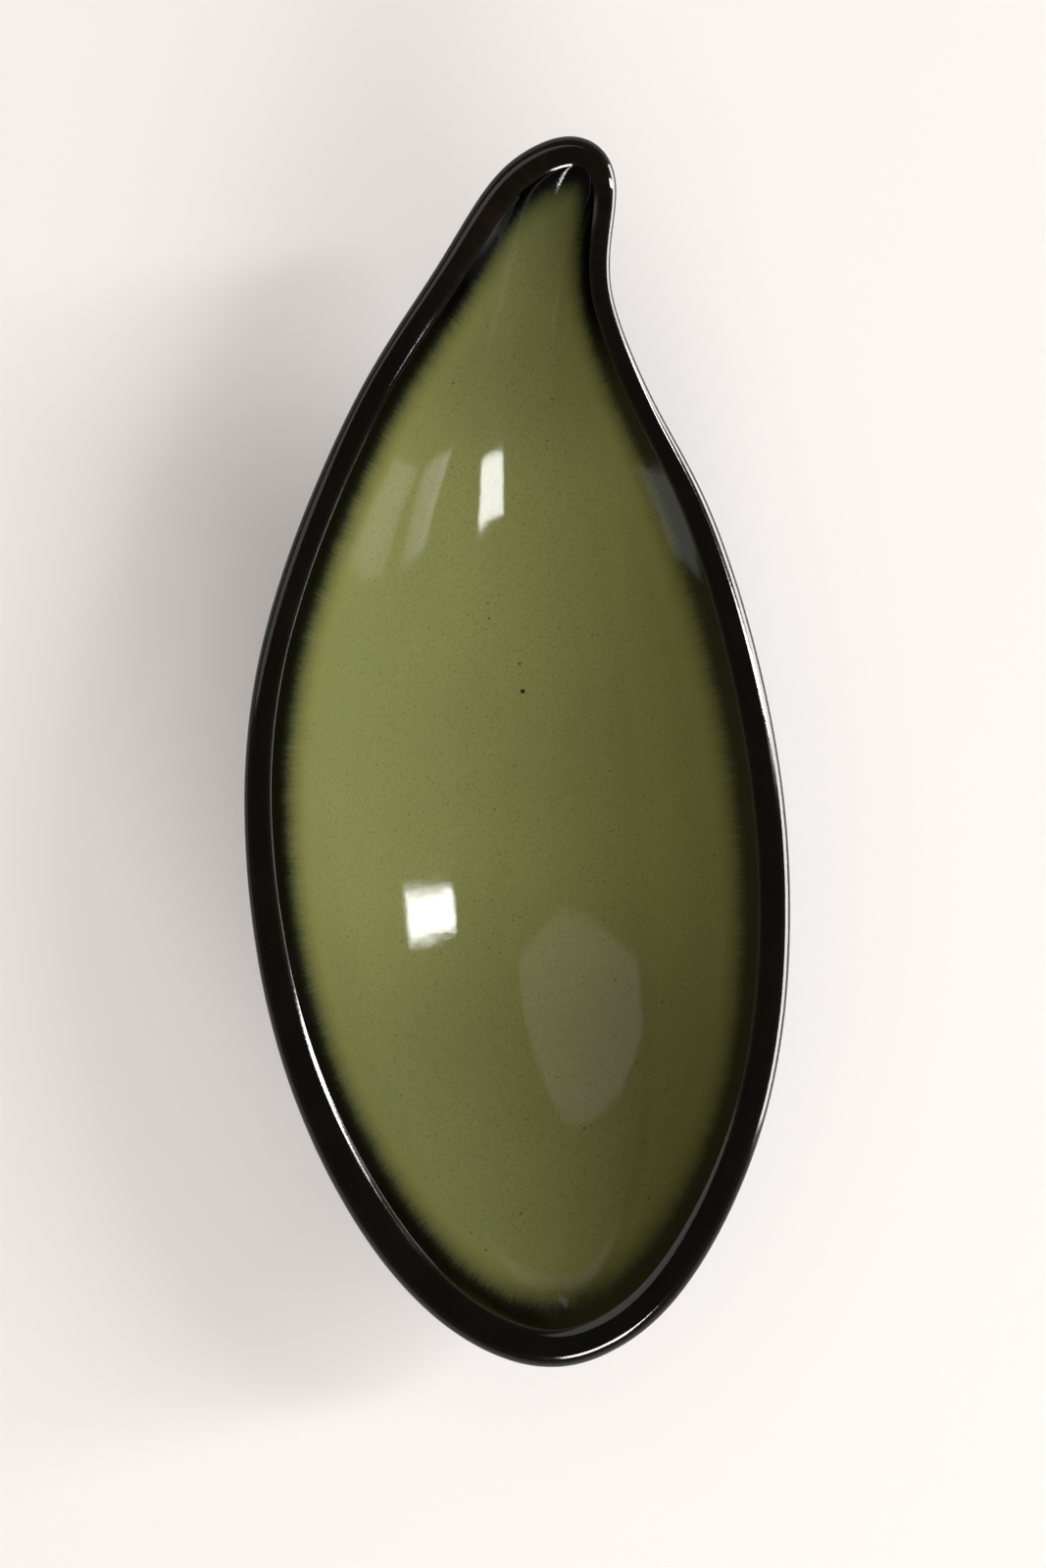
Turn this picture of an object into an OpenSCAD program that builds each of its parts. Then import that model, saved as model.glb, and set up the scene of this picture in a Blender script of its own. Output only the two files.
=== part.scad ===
// Olive dish: a leaf-shaped bowl in glazed earthenware, its tip swept up and bent to one side.
// It stands on an oval foot with the table at Z = 0, the open side up and the tip toward +Y.

/* [Dish] */
// Overall length from heel to tip (mm)
dish_length = 320; // [288:1:352]
// Overall width across the lip (mm)
dish_width = 143; // [129:1:157]
// Height of the lip above the table along the body (mm)
rim_height = 72; // [64:1:80]
// How much higher the lip stands at the tip (mm)
tip_rise = 14; // [8:1:20]

/* [Clay] */
// Thickness of the side wall (mm)
wall = 6; // [5:0.5:7]
// Thickness of the floor (mm)
floor_thick = 7; // [6:0.5:8]
// Widest part of the rounded lip, seen from above (mm)
lip_width = 9.6; // [8.6:0.2:10.8]

/* [Foot] */
// Height of the foot ring (mm)
foot_height = 10; // [8:0.5:12]
// Width of the foot ring (mm)
foot_width = 7; // [6:0.5:8]
// How far the underside bulges down within the foot (mm)
base_sag = 4; // [2:0.5:5]

/* [Glaze] */
// Thickness of the glaze coats (mm)
glaze = 0.7; // [0.5:0.1:0.9]

/* [Hidden] */

// Leaf outline from above, clockwise from the tip: [across, along, lip width], brought to size below.
edge = [
    [12.5, 160, 7.6], [21.8, 156.6, 6.6], [25.6, 147, 5.4], [24.4, 134, 4.8],
    [24.4, 121, 4.6], [29, 107, 4.8], [38, 88, 5.4], [52.5, 60, 6.6],
    [66.5, 10, 7.6], [71.3, -40, 7.8], [65.5, -93, 7.8], [45.5, -137, 8.6],
    [25, -155.6, 9.2], [8.5, -160, 9.6], [-7.5, -156, 9.6], [-26, -143, 9.6],
    [-46, -116, 9.4], [-64, -72, 8], [-71.3, -15, 6.6], [-64.6, 38, 6.4],
    [-43, 92, 6.6], [-23.6, 122, 6.8], [-10, 144, 7], [0.5, 155, 7.4]
];
widest = max([for (p = edge) p.z]);
steps = 3;
count = len(edge) * steps;

function flat(p) = [p.x, p.y];
function ease(s) = let (c = max(0, min(1, s))) c * c * c * (c * (6 * c - 15) + 10);
function mix(a, b, s) = a + (b - a) * s;
function unit(v) = v / norm(v);

// Direction of a closed line at its point i, weighed by the distances to both neighbours.
function course(line, i) =
    let (n = len(line), a = line[(i + n - 1) % n], b = line[i % n], c = line[(i + 1) % n])
    let (d0 = norm(flat(b - a)), d1 = norm(flat(c - b)))
    ((b - a) * d1 / d0 + (c - b) * d0 / d1) / (d0 + d1);

// Smooth closed curve through the outline points: a cubic spline whose poles lie just outside them.
function turn_of(line, i) =
    let (n = len(line))
    line[(i + n - 1) % n] - 2 * line[i] + line[(i + 1) % n];
bends = [for (i = [0:len(edge) - 1]) turn_of(edge, i)];
poles = [for (i = [0:len(edge) - 1]) edge[i] - bends[i] / 6 + turn_of(bends, i) / 36];
function along(i, u) =
    let (n = len(poles), a = poles[(i + n - 1) % n], b = poles[i])
    let (c = poles[(i + 1) % n], d = poles[(i + 2) % n])
    (pow(1 - u, 3) * a + (3 * u * u * u - 6 * u * u + 4) * b
    + (3 * u + 3 * u * u - 3 * u * u * u + 1) * c + u * u * u * d) / 6;

traced = [for (i = [0:len(edge) - 1], s = [0:steps - 1]) along(i, s / steps)];
low = [for (k = [0:1]) min([for (p = traced) p[k]])];
high = [for (k = [0:1]) max([for (p = traced) p[k]])];
rim = [for (p = traced) [
    (p.x - (low.x + high.x) / 2) * dish_width / (high.x - low.x),
    (p.y - (low.y + high.y) / 2) * dish_length / (high.y - low.y),
    p.z * lip_width / widest
]];

// Level outward direction of the rim at point i.
function outward(line, i) = let (t = unit(flat(course(line, i)))) [-t.y, t.x];

// Height of the lip's crown: level along the body, rising into the tip.
function crown(y) = rim_height + tip_rise * ease((y / dish_length - 0.18) / 0.32);

// Rounded lip: an arc from the crisp inner line, over the crown, to just under the outer edge.
roll_in_deg = 125;
roll_out_deg = -35;
lip_parts = 8;
function bead(i) = (rim[i].z - glaze) / (1 - cos(roll_in_deg));
function lip_at(i, turn) =
    let (p = rim[i], n = outward(rim, i), r = bead(i), back = glaze + r - r * cos(turn))
    [p.x - n.x * back, p.y - n.y * back, crown(p.y) - glaze - r + r * sin(turn)];
lip_rings = [for (k = [0:lip_parts])
    [for (i = [0:count - 1]) lip_at(i, mix(roll_in_deg, roll_out_deg, k / lip_parts))]];
inner_edge = lip_rings[0];
outer_edge = lip_rings[lip_parts];

// Middle line of the leaf: bent to the right at the tip and again, less, at the heel.
bend_y = 0.297 * dish_length;
bend_x = -0.028 * dish_width;
tip_sway = 0.115 * dish_width;
heel_sway = 0.084 * dish_width;
function middle(y) = bend_x + (y > bend_y
    ? tip_sway * pow((y - bend_y) / (dish_length / 2 - bend_y), 2)
    : heel_sway * pow((bend_y - y) / (dish_length / 2 + bend_y), 2));

// Depth of the bowl: a rounded cross-section at each station, deepest below the middle of the body,
// with a full round heel and a long shallow run up into the tip.
deep_y = -0.0625 * dish_length;
floor_z = foot_height - base_sag + floor_thick;
steep = 0.94;
side_power = 0.4;
heel_power = 0.62;
tip_power = 1.12;
inner_y = [for (p = inner_edge) p.y];
top = [for (i = [0:count - 1]) if (inner_y[i] == max(inner_y)) i][0];
heel = [for (i = [0:count - 1]) if (inner_y[i] == min(inner_y)) i][0];
right_line = [for (k = [top:heel + (heel < top ? count : 0)])
    let (p = inner_edge[k % count]) [p.y, p.x]];
left_line = [for (k = [heel:top + (top < heel ? count : 0)])
    let (p = inner_edge[k % count]) [p.y, p.x]];
function brink(y) = crown(y) - glaze - 0.12 * lip_width;
function arch(t, power) = pow(1 - pow(t * steep, 2), power);
function hollow(t, power) = (arch(t, power) - arch(1, power)) / (1 - arch(1, power));
function profile(y) =
    let (b = ease((y - deep_y) / dish_length * 2 + 0.5))
    let (run = mix(deep_y - min(inner_y), max(inner_y) - deep_y, b))
    hollow(max(-1, min(1, (y - deep_y) / run)), mix(heel_power, tip_power, b));
function basin(x, y) =
    let (r = lookup(y, right_line), l = lookup(y, left_line))
    let (t = min(1, abs(x - (l + r) / 2) * 2 / max(0.01, r - l)))
    brink(y) - (brink(deep_y) - floor_z) * profile(y) * hollow(t, side_power);

// Inside of the bowl: rings from the lip (share 1) morph to an oval round the deepest point (share 0).
oval_x = 0.435 * dish_width;
oval_y = 0.328 * dish_length;
function inside(i, q) =
    let (a = inner_edge[i % count], d = [a.x - middle(a.y), a.y - deep_y], far = norm(d), m = pow(q, 3))
    let (c = d.x / far, s = d.y / far)
    let (near = 1 / sqrt(c * c / (oval_x * oval_x) + s * s / (oval_y * oval_y)))
    let (r = q * ((1 - m) * near + m * far), y = deep_y + r * s, x = r * c + middle(y))
    [x, y, basin(x, y) + (a.z - basin(a.x, a.y)) * pow(q, 8)];
in_parts = 12;
in_rings = [for (j = [1:in_parts])
    [for (i = [0:count - 1]) j == in_parts ? inner_edge[i] : inside(i, sin(90 * j / in_parts))]];
deepest = [middle(deep_y), deep_y, basin(middle(deep_y), deep_y)];

// Outside of the bowl: the inside moved out by the clay thickness, ending on the level foot seat.
foot_share = 0.44;
function facing(i, q) =
    unit(cross(inside(i + 1, q) - inside(i + count - 1, q), inside(i, q + 0.01) - inside(i, q - 0.01)));
function thick(q) = floor_thick + (wall - floor_thick) * ease(q / 0.7);
function pushed(i, q) =
    let (b = ease((q - 0.5) / 0.5))
    inside(i, q) - (1 - b) * thick(q) * facing(i, min(q, 0.985)) + b * (outer_edge[i] - inner_edge[i]);
function outside(i, q) =
    let (p = pushed(i, q), f = pushed(i, foot_share))
    [p.x, p.y, p.z - (f.z - foot_height) * (1 - ease((q - foot_share) / 0.5))];
out_parts = 8;
out_rings = [for (k = [1:out_parts])
    [for (i = [0:count - 1]) outside(i, foot_share + (1 - foot_share) * cos(90 * k / out_parts))]];
foot_outer = out_rings[out_parts - 1];
base_mid = [middle(deep_y), deep_y, foot_height - base_sag];
foot_inner = [for (p = foot_outer)
    let (n = unit(flat(p - base_mid)))
    [p.x - n.x * foot_width, p.y - n.y * foot_width, foot_height]];

// Underside within the foot: a shallow bulge that follows the floor.
base_parts = 4;
base_rings = [for (k = [1:base_parts])
    let (s = k / base_parts)
    [for (p = foot_inner)
        [base_mid.x + (p.x - base_mid.x) * s, base_mid.y + (p.y - base_mid.y) * s,
        foot_height - base_sag * (1 - s * s)]]];

// The coats lie on the clay: each point of a clay ring is moved out along the surface's own direction.
body_rings = concat(in_rings, [for (k = [1:lip_parts]) lip_rings[k]], out_rings);
function raised(k, i) =
    let (h = (i + 1) % count, g = (i + count - 1) % count, last = len(body_rings) - 1)
    let (before = k == 0 ? deepest : body_rings[k - 1][i], after = body_rings[min(k + 1, last)][i])
    body_rings[k][i] + (k == last
        ? [0, 0, -glaze]
        : glaze * unit(cross(body_rings[k][h] - body_rings[k][g], after - before)));
coat_rings = [for (k = [0:len(body_rings) - 1]) [for (i = [0:count - 1]) raised(k, i)]];
lip_start = in_parts - 1;
lip_end = in_parts - 1 + lip_parts;
foot_row = len(body_rings) - 1;
base_coat = [for (ring = base_rings) [for (p = ring) p - [0, 0, glaze]]];

// Band of triangles between the rings k and m of a body; lean picks the diagonal of each four-sided cell.
function band(k, m, lean) = [for (i = [0:count - 1])
    let (h = (i + 1) % count, a = k * count + i, b = k * count + h, c = m * count + h, d = m * count + i)
    each lean ? [[a, d, b], [b, d, c]] : [[a, d, c], [a, c, b]]];

// Closed body from one point, out over rings and back to another point; the rings after turn lean back.
module dome(first, rings, last, turn) {
    n = len(rings);
    points = concat([for (r = rings) each r], [first, last]);
    faces = concat(
        [for (i = [0:count - 1]) [n * count, i, (i + 1) % count]],
        [for (k = [0:n - 2]) each band(k, k + 1, k >= turn)],
        [for (i = [0:count - 1]) [(n - 1) * count + i, n * count + 1, (n - 1) * count + (i + 1) % count]]);
    polyhedron(points, faces);
}

// Closed tube round the rim through rings, back to the first one; the rings after turn lean back.
module loop(rings, turn) {
    n = len(rings);
    faces = [for (k = [0:n - 1]) each band(k, (k + 1) % n, k >= turn)];
    polyhedron([for (r = rings) each r], faces);
}

function backward(list) = [for (k = [len(list) - 1:-1:0]) list[k]];
function part_of(list, from, to) = [for (k = [from:to]) list[k]];
shell_rings = concat(in_rings, [outer_edge], out_rings, backward(base_rings));

// Earthenware shell with a level seat below for the foot and a sloping seat above for the lip.
module bowl_shell() {
    color([0.78, 0.66, 0.50])
    dome(deepest, shell_rings, base_mid, len(shell_rings));
}

// Rounded lip, luted to the sloping edge of the shell.
module rim_coil() {
    color([0.74, 0.61, 0.45])
    loop(lip_rings, lip_parts);
}

// Oval foot ring with a flat bottom, left bare to stand on.
module foot_ring() {
    color([0.82, 0.71, 0.55])
    linear_extrude(height = foot_height)
    difference() {
        polygon([for (p = foot_outer) flat(p)]);
        polygon([for (p = foot_inner) flat(p)]);
    }
}

// Olive-green glaze that lines the bowl up to the crisp line.
module green_glaze() {
    color([0.43, 0.45, 0.25])
    dome(deepest + [0, 0, glaze],
        concat(part_of(coat_rings, 0, lip_start), backward(in_rings)), deepest, in_parts);
}

// Black glaze over the lip and down the outside to the foot.
module black_glaze() {
    color([0.08, 0.07, 0.06])
    loop(concat(part_of(coat_rings, lip_start, foot_row), backward(part_of(body_rings, lip_start, foot_row))),
        foot_row - lip_start + 1);
}

// Glaze on the underside, within the foot.
module base_glaze() {
    color([0.10, 0.09, 0.07])
    dome(base_mid, concat(base_rings, backward(base_coat)), base_mid - [0, 0, glaze], 0);
}

bowl_shell();
rim_coil();
foot_ring();
green_glaze();
black_glaze();
base_glaze();
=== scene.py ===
"""Olive dish: a leaf-shaped bowl in glazed earthenware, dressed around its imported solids."""

import math

import bpy
import numpy as np
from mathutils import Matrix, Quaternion, Vector


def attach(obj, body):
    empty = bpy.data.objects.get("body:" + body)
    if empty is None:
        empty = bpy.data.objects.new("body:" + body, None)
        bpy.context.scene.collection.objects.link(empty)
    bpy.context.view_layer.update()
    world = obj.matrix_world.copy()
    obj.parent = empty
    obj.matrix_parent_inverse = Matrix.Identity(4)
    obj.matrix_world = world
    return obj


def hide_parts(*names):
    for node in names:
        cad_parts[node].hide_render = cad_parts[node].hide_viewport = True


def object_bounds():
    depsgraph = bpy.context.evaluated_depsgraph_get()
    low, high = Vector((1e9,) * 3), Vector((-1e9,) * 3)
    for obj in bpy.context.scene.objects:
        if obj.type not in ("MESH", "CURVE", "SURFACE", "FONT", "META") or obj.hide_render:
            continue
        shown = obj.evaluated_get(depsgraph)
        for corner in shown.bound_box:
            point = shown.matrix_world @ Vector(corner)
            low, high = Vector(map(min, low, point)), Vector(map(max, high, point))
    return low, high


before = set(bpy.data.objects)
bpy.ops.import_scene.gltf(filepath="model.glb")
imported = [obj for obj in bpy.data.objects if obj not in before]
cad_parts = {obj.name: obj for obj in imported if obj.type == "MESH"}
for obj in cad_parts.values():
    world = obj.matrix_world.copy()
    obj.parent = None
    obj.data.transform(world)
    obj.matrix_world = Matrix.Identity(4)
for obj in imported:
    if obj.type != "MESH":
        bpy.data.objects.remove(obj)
cad_low, cad_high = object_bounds()


# Bowl shell
# The leaf-shaped body is a slab of buff earthenware pressed into a mould, thicker in the floor than in the
# wall. It has a sloping seat above, where the lip is luted on, and a level seat below for the foot.
mm = 0.001
dish_width, dish_length, dish_height = cad_high - cad_low
tip_rise = 14 * mm
rise_from = 0.18
rise_over = 0.32
rim_height = dish_height - tip_rise
wall = 6 * mm
floor_thick = 7 * mm
lip_width = 9.6 * mm
foot_height = 10 * mm
foot_width = 7 * mm
base_sag = 4 * mm
glaze = 0.7 * mm

# Leaf outline from above, clockwise from the tip: across, along, lip width and reach of the black fade (mm).
leaf_edge = np.array([
    (12.5, 160, 7.6, 4.2), (21.8, 156.6, 6.6, 4), (25.6, 147, 5.4, 3.4), (24.4, 134, 4.8, 2.6),
    (24.4, 121, 4.6, 2.6), (29, 107, 4.8, 2.9), (38, 88, 5.4, 2.9), (52.5, 60, 6.6, 3.8),
    (66.5, 10, 7.6, 3.6), (71.3, -40, 7.8, 3.5), (65.5, -93, 7.8, 3.1), (45.5, -137, 8.6, 3.8),
    (25, -155.6, 9.2, 5.2), (8.5, -160, 9.6, 5.4), (-7.5, -156, 9.6, 4.2), (-26, -143, 9.6, 3.5),
    (-46, -116, 9.4, 3), (-64, -72, 8, 2.8), (-71.3, -15, 6.6, 3.2), (-64.6, 38, 6.4, 3.2),
    (-43, 92, 6.6, 2.9), (-23.6, 122, 6.8, 2.8), (-10, 144, 7, 2.8), (0.5, 155, 7.4, 3.4),
]) * mm
edge_steps = 12
inner_rows = 60
outer_rows = 40
base_rows = 16


def ease(share):
    """Smooth step from 0 to 1."""
    s = np.clip(share, 0, 1)
    return s * s * s * (s * (6 * s - 15) + 10)


def mix(a, b, share):
    return a + (b - a) * share


def unit(vectors):
    return vectors / np.linalg.norm(vectors, axis=-1, keepdims=True)


def spline_loop(points, steps):
    """Closed cubic spline through the points, with as many samples from each point to the next."""
    bend = np.roll(points, 1, 0) - 2 * points + np.roll(points, -1, 0)
    bend_change = np.roll(bend, 1, 0) - 2 * bend + np.roll(bend, -1, 0)
    poles = (points - bend / 6 + bend_change / 36)[:, None]
    before, after, beyond = (np.roll(poles, shift, 0) for shift in (1, -1, -2))
    u = (np.arange(steps) / steps)[None, :, None]
    line = (1 - u) ** 3 * before + (3 * u**3 - 6 * u**2 + 4) * poles
    line = line + (3 * u + 3 * u**2 - 3 * u**3 + 1) * after + u**3 * beyond
    return line.reshape(-1, points.shape[1]) / 6


def course(ring):
    """Direction of a closed ring at each of its points."""
    step_in = ring - np.roll(ring, 1, 0)
    step_out = np.roll(ring, -1, 0) - ring
    return unit(unit(step_in) + unit(step_out))


rim = spline_loop(leaf_edge, edge_steps)
count = len(rim)
rim_low, rim_high = rim.min(0)[:2], rim.max(0)[:2]
rim[:, :2] = (rim[:, :2] - (rim_low + rim_high) / 2) * (dish_width, dish_length) / (rim_high - rim_low)
rim_course = course(rim[:, :2])
outward = np.column_stack((-rim_course[:, 1], rim_course[:, 0]))


def crown(y):
    """Height of the lip's crown: level along the body, rising into the tip."""
    return rim_height + tip_rise * ease((y / dish_length - rise_from) / rise_over)


roll_in = math.radians(125)
roll_out = math.radians(-35)
bead = (rim[:, 2] - glaze) / (1 - math.cos(roll_in))


def on_lip(across, rise):
    """Ring along the lip, at a place in its section counted in radii from the middle of the roll."""
    back = glaze + bead * (1 - across)
    height = crown(rim[:, 1]) - glaze - bead * (1 - rise)
    return np.column_stack((rim[:, :2] - outward * back[:, None], height))


crisp_line = on_lip(math.cos(roll_in), math.sin(roll_in))
outer_line = on_lip(math.cos(roll_out), math.sin(roll_out))

bend_y = 0.297 * dish_length
bend_x = -0.028 * dish_width
tip_sway = 0.115 * dish_width
heel_sway = 0.084 * dish_width


def middle(y):
    """Middle line of the leaf: bent to the right at the tip and again, less, at the heel."""
    to_tip = tip_sway * ((y - bend_y) / (dish_length / 2 - bend_y)) ** 2
    to_heel = heel_sway * ((bend_y - y) / (dish_length / 2 + bend_y)) ** 2
    return bend_x + np.where(y > bend_y, to_tip, to_heel)


deep_y = -0.0625 * dish_length
blend_run = dish_length / 2
floor_z = foot_height - base_sag + floor_thick
brink_drop = 0.12 * lip_width
least_width = 0.01 * mm
steep = 0.94
side_power = 0.4
heel_power = 0.62
tip_power = 1.12
tip_end = crisp_line[:, 1].argmax()
heel_end = crisp_line[:, 1].argmin()
right_side = crisp_line[np.arange(tip_end, heel_end + 1)][::-1]
left_side = crisp_line[np.arange(heel_end, tip_end + count + 1) % count]


def brink(y):
    """Height at which the bowl's inside meets the lip."""
    return crown(y) - glaze - brink_drop


def hollow(share, power):
    """Rounded cross-section: 1 in the middle, 0 at the edge, where it is steep."""
    edge = (1 - steep**2) ** power
    return ((1 - (share * steep) ** 2) ** power - edge) / (1 - edge)


def basin(x, y):
    """Height of the bowl's inside: round across, with a full heel and a long run up to the tip."""
    right = np.interp(y, right_side[:, 1], right_side[:, 0])
    left = np.interp(y, left_side[:, 1], left_side[:, 0])
    across = np.minimum(1, np.abs(2 * x - left - right) / np.maximum(least_width, right - left))
    to_tip = ease((y - deep_y) / blend_run + 0.5)
    run = mix(deep_y - crisp_line[heel_end, 1], crisp_line[tip_end, 1] - deep_y, to_tip)
    along = hollow(np.clip((y - deep_y) / run, -1, 1), mix(heel_power, tip_power, to_tip))
    return brink(y) - (brink(deep_y) - floor_z) * along * hollow(across, side_power)


oval_x = 0.435 * dish_width
oval_y = 0.328 * dish_length
oval_power = 3
lift_power = 8
share_step = 0.01
reach_x = crisp_line[:, 0] - middle(crisp_line[:, 1])
reach_y = crisp_line[:, 1] - deep_y
far = np.hypot(reach_x, reach_y)
near = far / np.hypot(reach_x / oval_x, reach_y / oval_y)
edge_lift = crisp_line[:, 2] - basin(crisp_line[:, 0], crisp_line[:, 1])


def inside(share):
    """One ring of the bowl's inside, from an oval round the deepest point (0) to the crisp line (1)."""
    reach = share * mix(near, far, share**oval_power) / far
    y = deep_y + reach * reach_y
    x = reach * reach_x + middle(y)
    return np.column_stack((x, y, basin(x, y) + edge_lift * share**lift_power))


def facing(share):
    """Direction out of the bowl's inside, into its hollow."""
    ring = inside(share)
    around = np.roll(ring, -1, 0) - np.roll(ring, 1, 0)
    return unit(np.cross(around, inside(share + share_step) - inside(share - share_step)))


foot_share = 0.44
foot_blend = 0.5
lip_from = 0.5
floor_reach = 0.7
last_facing = 0.985


def pushed(share):
    """The inside moved out by the thickness of the clay, which meets the lip's outer line at share 1."""
    to_lip = ease((share - lip_from) / (1 - lip_from))
    thick = mix(floor_thick, wall, ease(share / floor_reach))
    out = inside(share) - (1 - to_lip) * thick * facing(min(share, last_facing))
    return out + to_lip * (outer_line - crisp_line)


def outside(share):
    """One ring of the outside, from the lip (1) down to the level foot seat."""
    ring = pushed(share)
    ring[:, 2] -= (pushed(foot_share)[:, 2] - foot_height) * (1 - ease((share - foot_share) / foot_blend))
    return ring


turns = np.linspace(0, math.pi / 2, inner_rows + 1)[1:]
inner_rings = [inside(share) for share in np.sin(turns)[:-1]] + [crisp_line]
deepest = np.array((middle(deep_y), deep_y, basin(middle(deep_y), deep_y)))
turns = np.linspace(0, math.pi / 2, outer_rows + 1)[1:]
outer_rings = [outside(foot_share + (1 - foot_share) * share) for share in np.cos(turns)]

foot_outer = outer_rings[-1]
base_mid = np.array((deepest[0], deepest[1], foot_height - base_sag))
foot_across = np.column_stack((unit(foot_outer[:, :2] - base_mid[:2]), np.zeros(count)))
foot_inner = foot_outer - foot_across * foot_width
base_rings = []
for share in np.linspace(0, 1, base_rows + 1)[1:]:
    ring = mix(base_mid, foot_inner, share)
    ring[:, 2] = foot_height - base_sag * (1 - share**2)
    base_rings.append(ring)


def lofted(name, rings, first=None, last=None):
    """Mesh over rings that run clockwise from above, closed by a point at either end where one is given."""
    points = np.concatenate(rings)
    here = np.arange(count)
    there = (here + 1) % count
    faces = []
    for k in range(len(rings) - 1):
        a = k * count
        b = a + count
        faces.extend(np.column_stack((a + here, a + there, b + there, b + here)).tolist())
    if first is not None:
        faces.extend((len(points), j, i) for i, j in zip(here.tolist(), there.tolist()))
        points = np.vstack((points, first))
    if last is not None:
        end = (len(rings) - 1) * count
        faces.extend((end + i, end + j, len(points)) for i, j in zip(here.tolist(), there.tolist()))
        points = np.vstack((points, last))
    mesh = bpy.data.meshes.new(name)
    mesh.from_pydata(points.tolist(), [], faces)
    mesh.shade_smooth()
    return mesh


def socket_of(sockets, name):
    """The socket in use with that name, or the one at that place among those in use."""
    used = [socket for socket in sockets if socket.enabled]
    return used[name] if isinstance(name, int) else next(s for s in used if s.name == name)


def put(tree, kind, inputs=None, **settings):
    """Adds a node with its settings; each input is a plain value, another node or one of its outputs."""
    node = tree.nodes.new(kind)
    for name, value in settings.items():
        setattr(node, name, value)
    for name, value in (inputs or {}).items():
        socket = socket_of(node.inputs, name)
        if isinstance(value, bpy.types.Node):
            value = socket_of(value.outputs, 0)
        if isinstance(value, bpy.types.NodeSocket):
            tree.links.new(value, socket)
        else:
            socket.default_value = value
    return node


def sums(tree, operation, *values):
    return put(tree, "ShaderNodeMath", dict(enumerate(values)), operation=operation)


def blended(tree, share, low, high):
    """Colour between two colours, or between two nodes' colours."""
    colours = {"Factor": share, "A": low, "B": high}
    return put(tree, "ShaderNodeMix", colours, data_type="RGBA")


def ranged(tree, value, low, high, to_low=0.0, to_high=1.0):
    """Value taken from one range to another, held at its ends."""
    inputs = {"Value": value, "From Min": low, "From Max": high, "To Min": to_low, "To Max": to_high}
    return put(tree, "ShaderNodeMapRange", inputs, interpolation_type="SMOOTHSTEP")


def ramp(tree, value, stops):
    """Colour ramp with its stops as (place, colour)."""
    node = put(tree, "ShaderNodeValToRGB", {"Fac": value})
    elements = node.color_ramp.elements
    while len(elements) < len(stops):
        elements.new(1.0)
    for element, (place, colour) in zip(elements, stops):
        element.position = place
        element.color = colour
    return node


def new_group(name, kind, inputs, outputs):
    """Node group with its named sockets, each with its kind and, on an input, its value."""
    group = bpy.data.node_groups.new(name, kind)
    for socket, socket_type, value in inputs:
        made = group.interface.new_socket(socket, in_out="INPUT", socket_type=socket_type)
        if value is not None:
            made.default_value = value
    for socket, socket_type in outputs:
        group.interface.new_socket(socket, in_out="OUTPUT", socket_type=socket_type)
    return group, group.nodes.new("NodeGroupInput").outputs, group.nodes.new("NodeGroupOutput")


# Smallest speck and full-coloured middle, as shares of a speck's radius, and the radius of an empty cell.
speck_least = 0.25
speck_middle = 0.55
speck_none = 0.0001


def speck_group():
    """Scattered round specks of uneven size, as iron in a glaze or grog in a clay."""
    group, given, result = new_group(
        "Specks", "ShaderNodeTree",
        [("Vector", "NodeSocketVector", None), ("Scale", "NodeSocketFloat", 300.0),
         ("Share", "NodeSocketFloat", 0.3), ("Radius", "NodeSocketFloat", 0.2)],
        [("Mask", "NodeSocketFloat")])
    cells = put(group, "ShaderNodeTexVoronoi", {"Vector": given["Vector"], "Scale": given["Scale"]})
    chance = put(group, "ShaderNodeSeparateColor", {"Color": cells.outputs["Color"]})
    shown = sums(group, "LESS_THAN", chance.outputs["Red"], given["Share"])
    size = sums(group, "MULTIPLY_ADD", chance.outputs["Green"], 1 - speck_least, speck_least)
    radius = sums(group, "MULTIPLY", sums(group, "MULTIPLY", size, given["Radius"]), shown)
    some_radius = sums(group, "MAXIMUM", radius, speck_none)
    from_middle = sums(group, "DIVIDE", cells.outputs["Distance"], some_radius)
    mask = ranged(group, from_middle, 1.0, speck_middle)
    group.links.new(mask.outputs[0], result.inputs["Mask"])
    return group


specks = speck_group()


def speckled(tree, place, scale, share, radius):
    """Specks on a material, as a mask: cells to the metre, share of them filled, and size in a cell."""
    sizes = {"Vector": place, "Scale": scale, "Share": share, "Radius": radius}
    return put(tree, "ShaderNodeGroup", sizes, node_tree=specks)


def new_material(name, roughness, ior):
    """Material with one shader, whose plain values are set on its own sockets."""
    material = bpy.data.materials.new(name)
    material.use_nodes = True
    shader = material.node_tree.nodes["Principled BSDF"]
    shader.inputs["Roughness"].default_value = roughness
    shader.inputs["IOR"].default_value = ior
    return material, material.node_tree, shader


buff_deep = (0.43, 0.31, 0.19, 1)
buff_pale = (0.56, 0.43, 0.28, 1)
sand_brown = (0.36, 0.25, 0.15, 1)
grog_dark = (0.16, 0.09, 0.05, 1)
grog_pale = (0.72, 0.62, 0.47, 1)
grog_radius = 0.32
grog_strength = 0.7
clay_pits = 0.12 * mm


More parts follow.
